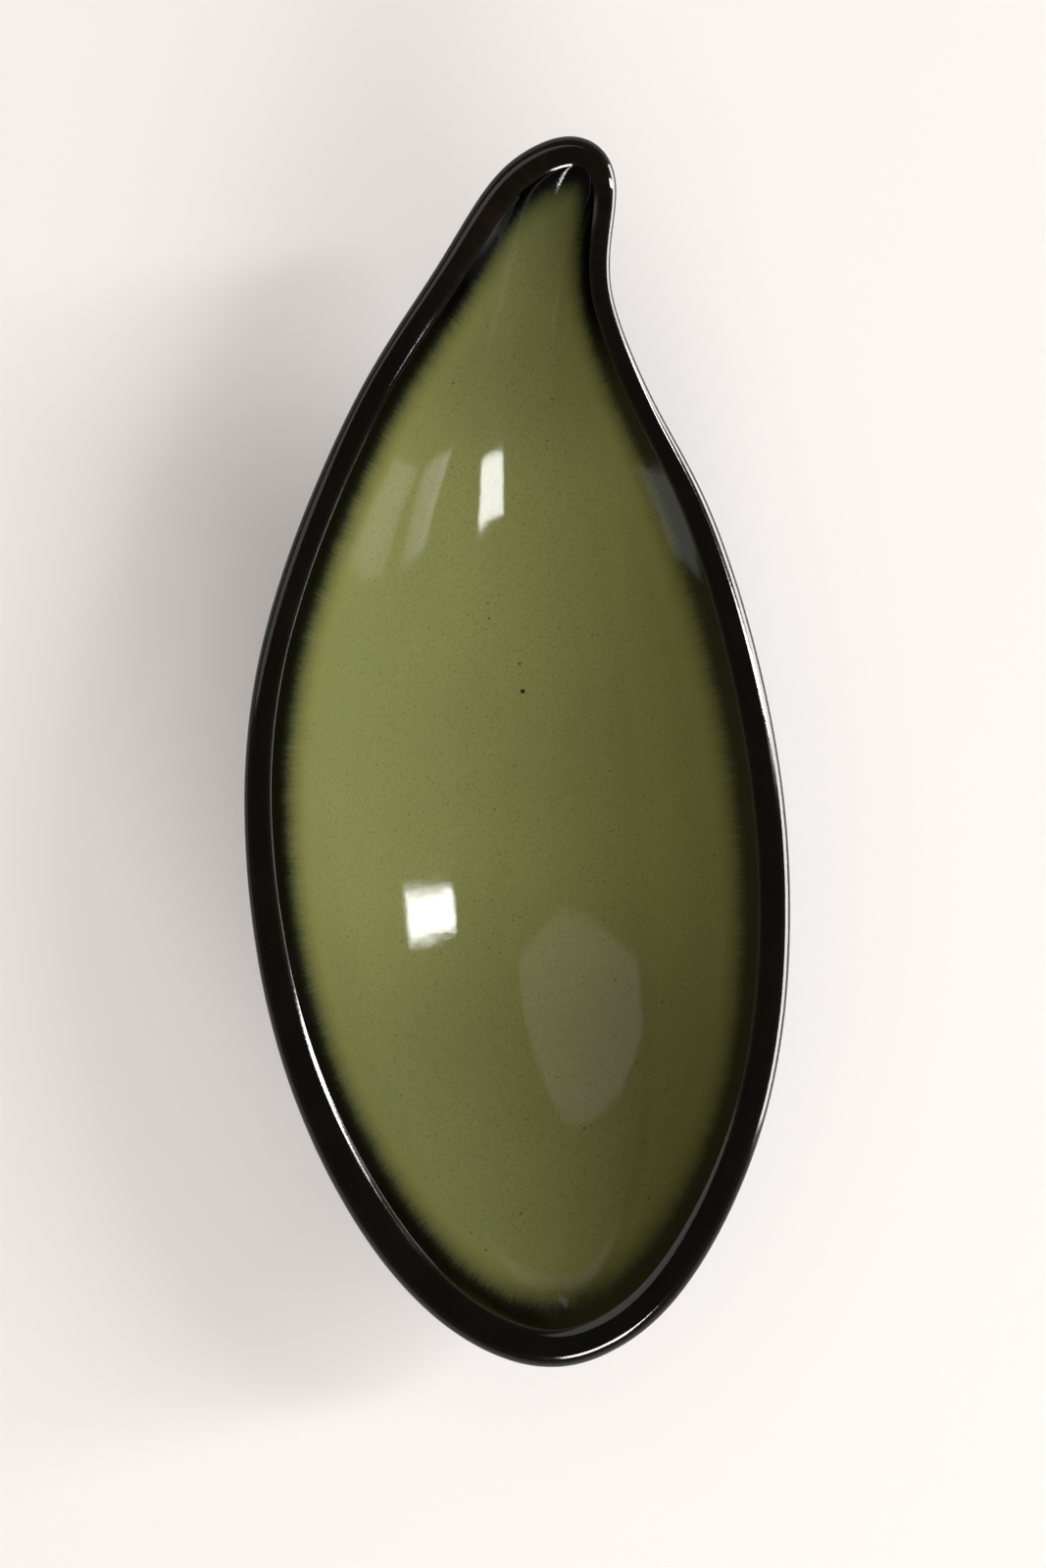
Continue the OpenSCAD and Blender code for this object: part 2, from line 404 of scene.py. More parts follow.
def clay_material():
    """Fired buff clay: sandy, with dark and pale grains of grog and a dry, slightly pitted skin."""
    material, tree, shader = new_material("buff_clay", roughness=0.82, ior=1.45)
    place = put(tree, "ShaderNodeTexCoord").outputs["Object"]
    cloud = put(tree, "ShaderNodeTexNoise", {"Vector": place, "Scale": 45, "Detail": 4})
    sand = put(tree, "ShaderNodeTexNoise", {"Vector": place, "Scale": 1600, "Detail": 3})
    colour = blended(tree, cloud, buff_deep, buff_pale)
    colour = blended(tree, ranged(tree, sand, 0.45, 0.75), colour, sand_brown)
    for scale, share, tone in ((420, 0.22, grog_dark), (650, 0.3, grog_pale)):
        grains = speckled(tree, place, scale, share, grog_radius)
        colour = blended(tree, sums(tree, "MULTIPLY", grains, grog_strength), colour, tone)
    bump = put(tree, "ShaderNodeBump", {"Height": sand, "Distance": clay_pits, "Strength": 0.7})
    tree.links.new(colour.outputs[2], shader.inputs["Base Color"])
    tree.links.new(bump.outputs[0], shader.inputs["Normal"])
    return material


clay = clay_material()


def as_piece(piece, node):
    """Puts a finished piece in the place of its solid, on the one body of the dish."""
    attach(piece, "root")
    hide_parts(node)


shell_rings = inner_rings + [outer_line] + outer_rings + base_rings[::-1]
shell_mesh = lofted("leaf_shell", shell_rings, deepest, base_mid)
shell_mesh.materials.append(clay)
shell = bpy.data.objects.new("leaf_shell", shell_mesh)
bpy.context.scene.collection.objects.link(shell)
as_piece(shell, "bowl_shell")


# Lip roll
# A roll of the same clay, thick at the heel and thin at the pinch of the neck. It is luted to the shell's
# sloping edge and rounded over by hand, which leaves the crisp line along its inner side.
lip_strips = 36
seam = 0.001 * mm
sharp_angle = math.radians(38)


def finished(tree, geometry, material, result):
    """Last nodes of every tree: smooth faces with sharp corners kept, real geometry and its material."""
    smooth = put(tree, "GeometryNodeSetShadeSmooth", {"Geometry": geometry}, domain="FACE")
    angle = put(tree, "GeometryNodeInputMeshEdgeAngle").outputs["Unsigned Angle"]
    corner = put(tree, "FunctionNodeCompare", {"A": angle, "B": sharp_angle}, operation="GREATER_THAN")
    kept = {"Geometry": smooth, "Selection": corner, "Shade Smooth": False}
    edged = put(tree, "GeometryNodeSetShadeSmooth", kept, domain="EDGE")
    real = put(tree, "GeometryNodeRealizeInstances", {"Geometry": edged})
    dressed = put(tree, "GeometryNodeSetMaterial", {"Geometry": real, "Material": material})
    tree.links.new(dressed.outputs[0], result.inputs[0])


def sweep_group():
    """Section carried upright round a closed path, whose stored vectors set its width and its rise."""
    group, given, result = new_group(
        "Upright Sweep", "GeometryNodeTree",
        [("Path", "NodeSocketGeometry", None), ("Section", "NodeSocketGeometry", None),
         ("Material", "NodeSocketMaterial", None)],
        [("Geometry", "NodeSocketGeometry")])
    around = put(group, "GeometryNodeAttributeDomainSize", {"Geometry": given["Path"]}, component="MESH")
    across = put(group, "GeometryNodeAttributeDomainSize", {"Geometry": given["Section"]}, component="CURVE")
    columns = sums(group, "ADD", around, 1)
    rows = sums(group, "ADD", across, 1)
    grid = put(group, "GeometryNodeMeshGrid", {"Vertices X": columns, "Vertices Y": rows})
    index = put(group, "GeometryNodeInputIndex")
    column = sums(group, "FLOOR", sums(group, "DIVIDE", index, rows))
    on_path = sums(group, "MODULO", column, around)
    on_section = sums(group, "MODULO", sums(group, "MODULO", index, rows), across)
    position = put(group, "GeometryNodeInputPosition")

    def sampled(geometry, value, place):
        inputs = {"Geometry": geometry, "Value": value, "Index": place}
        return put(group, "GeometryNodeSampleIndex", inputs, data_type="FLOAT_VECTOR")

    wide = put(group, "GeometryNodeInputNamedAttribute", {"Name": "across"}, data_type="FLOAT_VECTOR")
    high = put(group, "GeometryNodeInputNamedAttribute", {"Name": "rise"}, data_type="FLOAT_VECTOR")
    corner = put(group, "ShaderNodeSeparateXYZ", {"Vector": sampled(given["Section"], position, on_section)})
    seat = sampled(given["Path"], position, on_path)
    side = put(group, "ShaderNodeVectorMath",
               {0: sampled(given["Path"], wide, on_path), 1: corner.outputs["X"], 2: seat},
               operation="MULTIPLY_ADD")
    place = put(group, "ShaderNodeVectorMath",
                {0: sampled(given["Path"], high, on_path), 1: corner.outputs["Y"], 2: side},
                operation="MULTIPLY_ADD")
    swept = put(group, "GeometryNodeSetPosition", {"Geometry": grid.outputs["Mesh"], "Position": place})
    turned = put(group, "GeometryNodeFlipFaces", {"Mesh": swept})
    closed = put(group, "GeometryNodeMergeByDistance", {"Geometry": turned, "Distance": seam})
    finished(group, closed, given["Material"], result)
    return group


def baked(name, mesh, tree, values):
    """Runs a tree on a mesh, with its named inputs, and keeps the result as a plain mesh."""
    piece = bpy.data.objects.new(name, mesh)
    bpy.context.scene.collection.objects.link(piece)
    modifier = piece.modifiers.new(tree.name, "NODES")
    modifier.node_group = tree
    for socket in tree.interface.items_tree:
        if socket.name in values:
            modifier[socket.identifier] = values[socket.name]
    graph = bpy.context.evaluated_depsgraph_get()
    result = bpy.data.meshes.new_from_object(piece.evaluated_get(graph), depsgraph=graph)
    piece.modifiers.clear()
    piece.data = result
    result.name = name
    return piece


def with_vectors(mesh, **vectors):
    """Stores one vector for each point of a mesh, under a name that its tree or material reads."""
    for name, values in vectors.items():
        layer = mesh.attributes.new(name, "FLOAT_VECTOR", "POINT")
        layer.data.foreach_set("vector", np.ascontiguousarray(values, np.float32).ravel())


sweep = sweep_group()


def swept_round(tree, given, section, result):
    """Last nodes of the lip's and the foot's trees: the section goes round the path given to the tree."""
    parts = {"Path": given["Geometry"], "Section": section, "Material": given["Material"]}
    swept = put(tree, "GeometryNodeGroup", parts, node_tree=sweep)
    tree.links.new(swept.outputs[0], result.inputs[0])


def lip_tree():
    """The lip's section, an arc from its crisp inner line over the crown to its outer line, swept round."""
    tree, given, result = new_group(
        "Lip Roll", "GeometryNodeTree",
        [("Geometry", "NodeSocketGeometry", None), ("Strips", "NodeSocketInt", lip_strips),
         ("Roll In", "NodeSocketFloat", roll_in), ("Roll Out", "NodeSocketFloat", roll_out),
         ("Material", "NodeSocketMaterial", None)],
        [("Geometry", "NodeSocketGeometry")])
    turn = sums(tree, "SUBTRACT", given["Roll In"], given["Roll Out"])
    arc = put(tree, "GeometryNodeCurveArc",
              {"Resolution": sums(tree, "ADD", given["Strips"], 1), "Radius": 1.0,
               "Start Angle": given["Roll Out"], "Sweep Angle": turn})
    swept_round(tree, given, arc.outputs["Curve"], result)
    return tree


up = np.tile((0.0, 0.0, 1.0), (count, 1))
outward_level = np.column_stack((outward, np.zeros(count)))
bead_path = np.column_stack((rim[:, :2], crown(rim[:, 1]) - glaze - bead))
bead_path -= outward_level * (glaze + bead)[:, None]
bead_mesh = bpy.data.meshes.new("lip_path")
bead_mesh.from_pydata(bead_path.tolist(), [], [])
with_vectors(bead_mesh, across=outward_level * bead[:, None], rise=up * bead[:, None])
lip_sizes = {"Strips": lip_strips, "Roll In": roll_in, "Roll Out": roll_out, "Material": clay}
lip = baked("lip_roll", bead_mesh, lip_tree(), lip_sizes)
as_piece(lip, "rim_coil")


# Foot ring
# An oval ring of bare clay under the floor, turned flat below and wiped clean of glaze so that the dish
# does not stick to the kiln shelf. Its lower edges are sponged round.
foot_round = 1.4 * mm
foot_round_steps = 6


def foot_tree():
    """The foot's upright section, square where it meets the shell and rounded below, swept round."""
    tree, given, result = new_group(
        "Foot Ring", "GeometryNodeTree",
        [("Geometry", "NodeSocketGeometry", None), ("Width", "NodeSocketFloat", foot_width),
         ("Height", "NodeSocketFloat", foot_height), ("Round", "NodeSocketFloat", foot_round),
         ("Material", "NodeSocketMaterial", None)],
        [("Geometry", "NodeSocketGeometry")])
    block = put(tree, "GeometryNodeCurvePrimitiveQuadrilateral",
                {"Width": given["Width"], "Height": given["Height"]})
    corner = put(tree, "ShaderNodeSeparateXYZ", {"Vector": put(tree, "GeometryNodeInputPosition")})
    below = sums(tree, "LESS_THAN", corner.outputs["Y"], 0.0)
    section = put(tree, "GeometryNodeFilletCurve", {"Curve": block}, mode="POLY")
    socket_of(section.inputs, "Count").default_value = foot_round_steps
    tree.links.new(sums(tree, "MULTIPLY", below, given["Round"]).outputs[0], section.inputs["Radius"])
    swept_round(tree, given, section.outputs["Curve"], result)
    return tree


foot_path = (foot_outer + foot_inner) / 2
foot_path[:, 2] = foot_height / 2
foot_mesh = bpy.data.meshes.new("foot_path")
foot_mesh.from_pydata(foot_path.tolist(), [], [])
with_vectors(foot_mesh, across=foot_across, rise=up)
foot_sizes = {"Width": foot_width, "Height": foot_height, "Round": foot_round, "Material": clay}
foot = baked("foot", foot_mesh, foot_tree(), foot_sizes)
as_piece(foot, "foot_ring")


# Green glaze
# The glossy olive lining, poured over the inside and drained, from the floor up to the crisp line. Black
# from the lip has run into it under the heat, which leaves feathered streaks and a yellow border.
ripple = 0.035 * mm
ripple_pitch = 55.0
fan_rows = 4
line_round = 0.4
coat_seam = 0.0005 * mm


def coat_tree():
    """A coat of glaze on clay: raised along the clay's stored directions, and uneven as poured glaze is."""
    tree, given, result = new_group(
        "Glaze Coat", "GeometryNodeTree",
        [("Geometry", "NodeSocketGeometry", None), ("Thickness", "NodeSocketFloat", glaze),
         ("Ripple", "NodeSocketFloat", ripple), ("Ripple Pitch", "NodeSocketFloat", ripple_pitch),
         ("Material", "NodeSocketMaterial", None)],
        [("Geometry", "NodeSocketGeometry")])
    away = put(tree, "GeometryNodeInputNamedAttribute", {"Name": "away"}, data_type="FLOAT_VECTOR")
    place = put(tree, "GeometryNodeInputPosition")
    waves = put(tree, "ShaderNodeTexNoise", {"Vector": place, "Scale": given["Ripple Pitch"], "Detail": 1})
    uneven = sums(tree, "MULTIPLY", sums(tree, "SUBTRACT", waves, 0.5), given["Ripple"])
    depth = sums(tree, "MULTIPLY_ADD", uneven, 2.0, given["Thickness"])
    offset = put(tree, "ShaderNodeVectorMath", {0: away, 1: depth}, operation="MULTIPLY")
    risen = put(tree, "GeometryNodeExtrudeMesh",
                {"Mesh": given["Geometry"], "Offset Scale": 0.0, "Individual": False})
    top = put(tree, "GeometryNodeSetPosition",
              {"Geometry": risen.outputs["Mesh"], "Selection": risen.outputs["Top"], "Offset": offset})
    under = put(tree, "GeometryNodeFlipFaces", {"Mesh": given["Geometry"]})
    both = put(tree, "GeometryNodeJoinGeometry")
    tree.links.new(top.outputs[0], both.inputs[0])
    tree.links.new(under.outputs[0], both.inputs[0])
    closed = put(tree, "GeometryNodeMergeByDistance", {"Geometry": both, "Distance": coat_seam})
    finished(tree, closed, given["Material"], result)
    return tree


def surface_directions(rings, before, after):
    """Direction out of a surface of rings, with the rows before and after it to go by."""
    rows = [before] + rings + [after]
    found = []
    for k in range(1, len(rows) - 1):
        climb = unit(rows[k] - rows[k - 1]) + unit(rows[k + 1] - rows[k])
        found.append(unit(np.cross(course(rows[k]), climb)))
    return found


# Arcs of the glazed lip's outer shoulder, from its side to its crown: first and last angle in degrees, and
# radius in bead radii.
shoulder_arcs = ((0, 45, 0.2), (45, 54, 1.47), (54, 90, 0.5))
inner_round = 1.53


def gathered(turn):
    """Ring where the glaze gathers on the lip, squarer at the outer shoulder than the clay under it."""
    across, rise = 1.0, 1.0
    for start, end, radius in shoulder_arcs:
        reached = np.clip(turn, math.radians(start), math.radians(end))
        across -= radius * (math.cos(math.radians(start)) - math.cos(reached))
        rise -= radius * (math.sin(math.radians(end)) - math.sin(reached))
    if turn > math.pi / 2:
        share = (turn - math.pi / 2) / (roll_in - math.pi / 2)
        share = inner_round * share + (1 - inner_round) * share**2
        across, rise = mix(across, math.cos(roll_in), share), math.sin(turn)
    elif turn < 0:
        across, rise = math.cos(turn), math.sin(turn) + rise * (1 - turn / roll_out)
    return on_lip(across, rise)


lip_turns = np.linspace(roll_in, roll_out, lip_strips + 1)[1:]
lip_rings = [on_lip(math.cos(turn), math.sin(turn)) for turn in lip_turns]
gathered_rings = [gathered(turn) for turn in lip_turns]
inner_away = surface_directions(inner_rings, deepest + np.zeros((count, 3)), gathered_rings[0])
outer_away = surface_directions(gathered_rings + outer_rings, crisp_line, foot_outer - up * mm)
for k, (clay_ring, ring) in enumerate(zip(lip_rings, gathered_rings)):
    outer_away[k] = outer_away[k] + (ring - clay_ring) / glaze
wall_away = unit(np.cross(course(crisp_line), unit(crisp_line - inner_rings[-2])))
lip_away = unit(np.cross(course(crisp_line), unit(gathered_rings[0] - crisp_line)))


def fan(first, last):
    """Rows that turn over the crisp line, where the glaze rounds the sharp clay a little."""
    between = unit(wall_away + lip_away)
    corner = between / (between * lip_away).sum(1, keepdims=True)
    shares = np.linspace(first, last, fan_rows + 1)
    return [mix(corner, unit(mix(wall_away, lip_away, share)), line_round) for share in shares]


rim_steps = np.linalg.norm(np.roll(crisp_line, -1, 0) - crisp_line, axis=1)
rim_run = np.concatenate(((0.0,), np.cumsum(rim_steps)[:-1]))
rim_total = rim_steps.sum()
rim_radius = rim_total / (2 * math.pi)


def rim_place(run, distance):
    """Place along the rim as a turn of a circle, so that patterns close on themselves, and away from it."""
    turn = run / rim_radius
    return np.column_stack((rim_radius * np.cos(turn), rim_radius * np.sin(turn), distance))


def nearest_on_rim(ring):
    """Distance of each point from the crisp line, seen from above, and the run along the rim to there."""
    start = crisp_line[None, :, :2]
    step = (np.roll(crisp_line, -1, 0) - crisp_line)[None, :, :2]
    to_point = ring[:, None, :2] - start
    share = np.clip((to_point * step).sum(2) / (step**2).sum(2), 0, 1)
    gap = np.linalg.norm(to_point - share[:, :, None] * step, axis=2)
    nearest = gap.argmin(1)
    here = np.arange(count)
    return gap[here, nearest], rim_run[nearest] + share[here, nearest] * rim_steps[nearest]


lining_rings = inner_rings + [crisp_line] * fan_rows
lining_away = inner_away[:-1] + fan(0.0, 0.5)
lining_place = []
lining_fade = []
for ring in inner_rings:
    gap, run = nearest_on_rim(ring)
    lining_place.append(rim_place(run, gap))
    lining_fade.append(gap / np.interp(run, rim_run, rim[:, 3], period=rim_total))
lining_place += [lining_place[-1]] * fan_rows
lining_fade += [lining_fade[-1]] * fan_rows

# Beside the lip, on the long sides, the steep wall is shaded as if it leaned out more, so that its gloss does
# not mirror the green floor there. The lean is a height for the material alone: it falls along the wall
# wherever that is steeper than this angle, evened out between neighbours on a ring.
lean_from = math.radians(55)
lean_blend = 6
long_side_from = 0.5
long_side_over = 0.4
long_sides = ease((np.abs(outward[:, 0]) - long_side_from) / long_side_over)
lining_lean = [np.zeros(count)]
for k, away in enumerate(inner_away[1:-1] + [wall_away], 1):
    step = inner_rings[k] - inner_rings[k - 1]
    along_ring = course(inner_rings[k])
    climb = np.linalg.norm(step - (step * along_ring).sum(1, keepdims=True) * along_ring, axis=1)
    too_steep = long_sides * np.maximum(0, np.arccos(away[:, 2]) - lean_from)
    evened = np.mean([np.roll(too_steep, shift) for shift in range(-lean_blend, lean_blend + 1)], 0)
    too_steep = np.minimum(too_steep, evened)
    lining_lean.append(lining_lean[-1] - np.tan(too_steep) * climb)
lining_lean += [lining_lean[-1]] * fan_rows


def with_values(mesh, **values):
    """Stores one number for each point of a mesh, under a name that its material reads."""
    for name, numbers in values.items():
        layer = mesh.attributes.new(name, "FLOAT", "POINT")
        layer.data.foreach_set("value", np.ascontiguousarray(numbers, np.float32))


def skin_group():
    """Skin of a fired glaze: soft waves and a fine grain, as a height, and a gloss that varies a little."""
    group, given, result = new_group(
        "Glaze Skin", "ShaderNodeTree",
        [("Vector", "NodeSocketVector", None), ("Gloss", "NodeSocketFloat", 0.06),
         ("Dull", "NodeSocketFloat", 0.12)],
        [("Height", "NodeSocketFloat"), ("Roughness", "NodeSocketFloat")])
    waves = put(group, "ShaderNodeTexNoise", {"Vector": given["Vector"], "Scale": 260, "Detail": 1})
    grain = put(group, "ShaderNodeTexNoise", {"Vector": given["Vector"], "Scale": 2100, "Detail": 2})
    height = sums(group, "MULTIPLY_ADD", grain, 0.42, waves)
    bloom = put(group, "ShaderNodeTexNoise", {"Vector": given["Vector"], "Scale": 38, "Detail": 3})
    wide = sums(group, "SUBTRACT", given["Dull"], given["Gloss"])
    rough = sums(group, "MULTIPLY_ADD", ranged(group, bloom, 0.35, 0.75), wide, given["Gloss"])
    group.links.new(height.outputs[0], result.inputs["Height"])
    group.links.new(rough.outputs[0], result.inputs["Roughness"])
    return group


skin = skin_group()


def glaze_skin(tree, shader, place, gloss, dull, depth, under=None):
    """Puts the glaze skin on a material: its roughness, and its height as a bump of that depth in metres, on
    top of another bump where one is given."""
    node = put(tree, "ShaderNodeGroup", {"Vector": place, "Gloss": gloss, "Dull": dull}, node_tree=skin)
    bump = put(tree, "ShaderNodeBump", {"Height": node.outputs["Height"], "Distance": depth, "Strength": 1.0})
    if under is not None:
        tree.links.new(under.outputs[0], bump.inputs["Normal"])
    tree.links.new(node.outputs["Roughness"], shader.inputs["Roughness"])
    tree.links.new(bump.outputs[0], shader.inputs["Normal"])


pinhole = Vector((1.4, 18.4, 0.0)) * mm
pinhole_radius = 0.9 * mm
pinhole_floor = 0.45 * pinhole_radius
olive_deep = (0.18, 0.2, 0.07, 1)
olive_pale = (0.2, 0.213, 0.074, 1)
olive_mottle = (0.125, 0.137, 0.045, 1)
# Painted shade toward the heel and the neck and painted light over the middle: the two tones, and the spans
# along the dish where they change.
painted_shade_tone = 0.86
painted_light_tone = 1.1
heel_painted_shade_span = (-95 * mm, -15 * mm)
neck_painted_shade_span = (120 * mm, 60 * mm)
# Painted shade in the tip's trough: a cool tone that the lining is multiplied by toward the tip.
tip_painted_shade_span = (112 * mm, 160 * mm)
tip_painted_shade = (0.2, 0.24, 0.28, 1)
iron_brown = (0.028, 0.026, 0.012, 1)
pit_brown = (0.022, 0.02, 0.01, 1)
drawn_out = (1.0, 1.0, 0.16)
skin_depth = 0.02 * mm

# Colours of the black that has run in from the lip, by share of the way through it.
run_in_span = 0.3
run_in_stops = (
    (0.13, (0.0015, 0.0015, 0.001, 1)), (0.2, (0.005, 0.006, 0.003, 1)), (0.26, (0.016, 0.019, 0.008, 1)),
    (0.31, (0.036, 0.041, 0.016, 1)), (0.38, (0.071, 0.077, 0.027, 1)), (0.46, (0.108, 0.113, 0.038, 1)),
    (0.56, (0.143, 0.147, 0.048, 1)), (0.68, (0.172, 0.176, 0.057, 1)), (0.85, (0.195, 0.2, 0.066, 1)),
)


def olive_material():
    """Olive glaze with iron specks and one open pinhole, streaked with black and yellow toward the lip."""
    material, tree, shader = new_material("olive_green", roughness=0.08, ior=1.41)
    place = put(tree, "ShaderNodeTexCoord").outputs["Object"]
    by_rim = put(tree, "ShaderNodeAttribute", attribute_name="rim_place").outputs["Vector"]
    fade = put(tree, "ShaderNodeAttribute", attribute_name="fade").outputs["Fac"]

    cloud = put(tree, "ShaderNodeTexNoise", {"Vector": place, "Scale": 22, "Detail": 3})
    mottle = put(tree, "ShaderNodeTexNoise", {"Vector": place, "Scale": 1100, "Detail": 4, "Roughness": 0.65})
    olive = blended(tree, ranged(tree, cloud, 0.3, 0.7), olive_deep, olive_pale)
    olive = blended(tree, ranged(tree, mottle, 0.4, 0.75, 0.0, 0.55), olive, olive_mottle)

    drawn = put(tree, "ShaderNodeVectorMath", {0: by_rim, 1: drawn_out}, operation="MULTIPLY")
    streaks = put(tree, "ShaderNodeTexNoise", {"Vector": drawn, "Scale": 2100, "Detail": 2, "Roughness": 0.6})
    tongues = put(tree, "ShaderNodeTexNoise", {"Vector": drawn, "Scale": 230, "Detail": 3})
    stipple = put(tree, "ShaderNodeTexNoise", {"Vector": place, "Scale": 3300, "Detail": 1})
    ragged = fade
    for pattern, strength in ((streaks, 0.5), (tongues, 0.35), (stipple, 0.6)):
        ragged = sums(tree, "MULTIPLY_ADD", sums(tree, "SUBTRACT", pattern, 0.5), strength, ragged)
    run_in = ramp(tree, sums(tree, "MULTIPLY", ragged, run_in_span), run_in_stops)
    colour = blended(tree, ranged(tree, ragged, 1.8, 3.8), run_in.outputs["Color"], olive)
    along = put(tree, "ShaderNodeSeparateXYZ", {"Vector": place}).outputs["Y"]
    # Painted shade toward the heel and the neck, and painted light over the middle of the floor.
    painted_light_share = sums(tree, "MULTIPLY", ranged(tree, along, *heel_painted_shade_span), ranged(tree, along, *neck_painted_shade_span))
    painted_shade_and_light = {"Factor": 1.0, "A": colour, "B": ranged(tree, painted_light_share, 0.0, 1.0, painted_shade_tone, painted_light_tone)}
    colour = put(tree, "ShaderNodeMix", painted_shade_and_light, data_type="RGBA", blend_type="MULTIPLY")
    # Painted shade in the tip's trough.
    to_tip = {"Factor": ranged(tree, along, *tip_painted_shade_span), "A": colour, "B": tip_painted_shade}
    colour = put(tree, "ShaderNodeMix", to_tip, data_type="RGBA", blend_type="MULTIPLY")

    for scale, share, radius, strength in ((230, 0.25, 0.12, 0.8), (560, 0.6, 0.2, 0.55)):
        iron = speckled(tree, place, scale, share, radius)
        colour = blended(tree, sums(tree, "MULTIPLY", iron, strength), colour, iron_brown)

    level = put(tree, "ShaderNodeVectorMath", {0: place, 1: (1.0, 1.0, 0.0)}, operation="MULTIPLY")
    gap = put(tree, "ShaderNodeVectorMath", {0: level, 1: tuple(pinhole)}, operation="DISTANCE")
    pit = ranged(tree, gap.outputs["Value"], pinhole_radius, pinhole_floor)
    colour = blended(tree, pit, colour, pit_brown)

    lean = put(tree, "ShaderNodeAttribute", attribute_name="lean").outputs["Fac"]
    leaning = put(tree, "ShaderNodeBump", {"Height": lean, "Distance": 1.0, "Strength": 1.0})
    tree.links.new(colour.outputs[2], shader.inputs["Base Color"])
    glaze_skin(tree, shader, place, gloss=0.035, dull=0.075, depth=skin_depth, under=leaning)
    return material


coat = coat_tree()
lining_mesh = lofted("green_lining", lining_rings, deepest)
at_pole = ((0.0, 0.0, 1.0),)
with_vectors(lining_mesh, away=np.concatenate(lining_away + [at_pole]),
             rim_place=np.concatenate(lining_place + [lining_place[0][:1]]))
with_values(lining_mesh, fade=np.concatenate(lining_fade + [lining_fade[0][:1]]),
            lean=np.concatenate(lining_lean + [lining_lean[0][:1]]))
coat_sizes = {"Thickness": glaze, "Ripple": ripple, "Ripple Pitch": ripple_pitch}
lining = baked("green_lining", lining_mesh, coat, coat_sizes | {"Material": olive_material()})
as_piece(lining, "green_glaze")


# Black glaze
# A second glaze, brushed thick over the lip and down the outside to the foot. It is glassy and nearly
# black, and breaks to brown where it has run thin along the crisp line and over the tip.
jacket_rings = [crisp_line] * (fan_rows + 1) + lip_rings + outer_rings
jacket_away = fan(0.5, 1.0) + outer_away[:-1] + [-up]
lip_rows = fan_rows + 1 + lip_strips
jacket_place = []
jacket_roll = []
drop = np.zeros(count)
for k, ring in enumerate(jacket_rings):
    drop = drop + np.linalg.norm(ring - jacket_rings[max(0, k - 1)], axis=1)
    jacket_place.append(rim_place(rim_run, drop))
    lip_share = max(0, k - fan_rows) / lip_strips
    jacket_roll.append(np.full(count, lip_share if k < lip_rows else 1 + (k - lip_rows) / outer_rows))


black_deep = (0.002, 0.0018, 0.0013, 1)
black_pale = (0.006, 0.005, 0.0035, 1)
run_brown = (0.032, 0.018, 0.009, 1)
edge_brown = (0.05, 0.042, 0.03, 1)
speck_brown = (0.03, 0.022, 0.013, 1)
run_out = (1.0, 1.0, 0.25)
tip_thin = (95 * mm, 158 * mm)
arris_end = (100 * mm, 70 * mm)
arris_wear = 0.4
arris_wide = 0.035


def black_material():
    """Black glaze, glassy, breaking to brown along edges, over the tip and in runs on the outside."""
    material, tree, shader = new_material("black_gloss", roughness=0.08, ior=1.55)
    place = put(tree, "ShaderNodeTexCoord").outputs["Object"]
    by_rim = put(tree, "ShaderNodeAttribute", attribute_name="rim_place").outputs["Vector"]
    roll = put(tree, "ShaderNodeAttribute", attribute_name="roll").outputs["Fac"]

    depths = put(tree, "ShaderNodeTexNoise", {"Vector": place, "Scale": 70, "Detail": 4})
    colour = blended(tree, depths, black_deep, black_pale)

    along = put(tree, "ShaderNodeSeparateXYZ", {"Vector": place}).outputs["Y"]
    at_tip = ranged(tree, along, *tip_thin)
    runs = put(tree, "ShaderNodeVectorMath", {0: by_rim, 1: run_out}, operation="MULTIPLY")
    streaks = put(tree, "ShaderNodeTexNoise", {"Vector": runs, "Scale": 420, "Detail": 3})
    thin_top = sums(tree, "MULTIPLY", at_tip, ranged(tree, streaks, 0.4, 0.75, 0.15, 0.9))
    patchy = ranged(tree, streaks, 0.35, 0.7, 0.1, 0.7)
    edge = sums(tree, "MULTIPLY", ranged(tree, roll, 0.55, 0.95), patchy)
    brown = sums(tree, "MINIMUM", sums(tree, "MULTIPLY_ADD", thin_top, 0.25, edge), 1.0)
    colour = blended(tree, brown, colour, run_brown)
    below_tip = ranged(tree, along, *arris_end, 0.0, arris_wear)
    arris = sums(tree, "MULTIPLY", ranged(tree, roll, arris_wide, 0.0), below_tip)
    colour = blended(tree, arris, colour, edge_brown)

    grain = speckled(tree, place, scale=900, share=0.14, radius=0.25)
    colour = blended(tree, sums(tree, "MULTIPLY", grain, 0.5), colour, speck_brown)

    tree.links.new(colour.outputs[2], shader.inputs["Base Color"])
    glaze_skin(tree, shader, place, gloss=0.05, dull=0.13, depth=skin_depth)
    return material


black = black_material()
jacket_mesh = lofted("black_jacket", jacket_rings)
with_vectors(jacket_mesh, away=np.concatenate(jacket_away), rim_place=np.concatenate(jacket_place))
with_values(jacket_mesh, roll=np.concatenate(jacket_roll))
jacket = baked("black_jacket", jacket_mesh, coat, coat_sizes | {"Material": black})
as_piece(jacket, "black_glaze")


# Base glaze
# The same black glaze, swilled over the underside within the foot to seal the clay. What runs off is tipped
# out, so it lies as thin as the other coats and stops at the bare foot.
base_roll = 2.0
base_mesh = lofted("base_patch", base_rings[::-1], last=base_mid)
base_points = len(base_mesh.vertices)
base_run = np.tile(rim_place(rim_run, np.zeros(count)), (base_rows, 1))
with_vectors(base_mesh, away=np.tile((0.0, 0.0, -1.0), (base_points, 1)),
             rim_place=np.vstack((base_run, base_run[:1])))
with_values(base_mesh, roll=np.full(base_points, base_roll))
base = baked("base_patch", base_mesh, coat, coat_sizes | {"Material": black})
as_piece(base, "base_glaze")


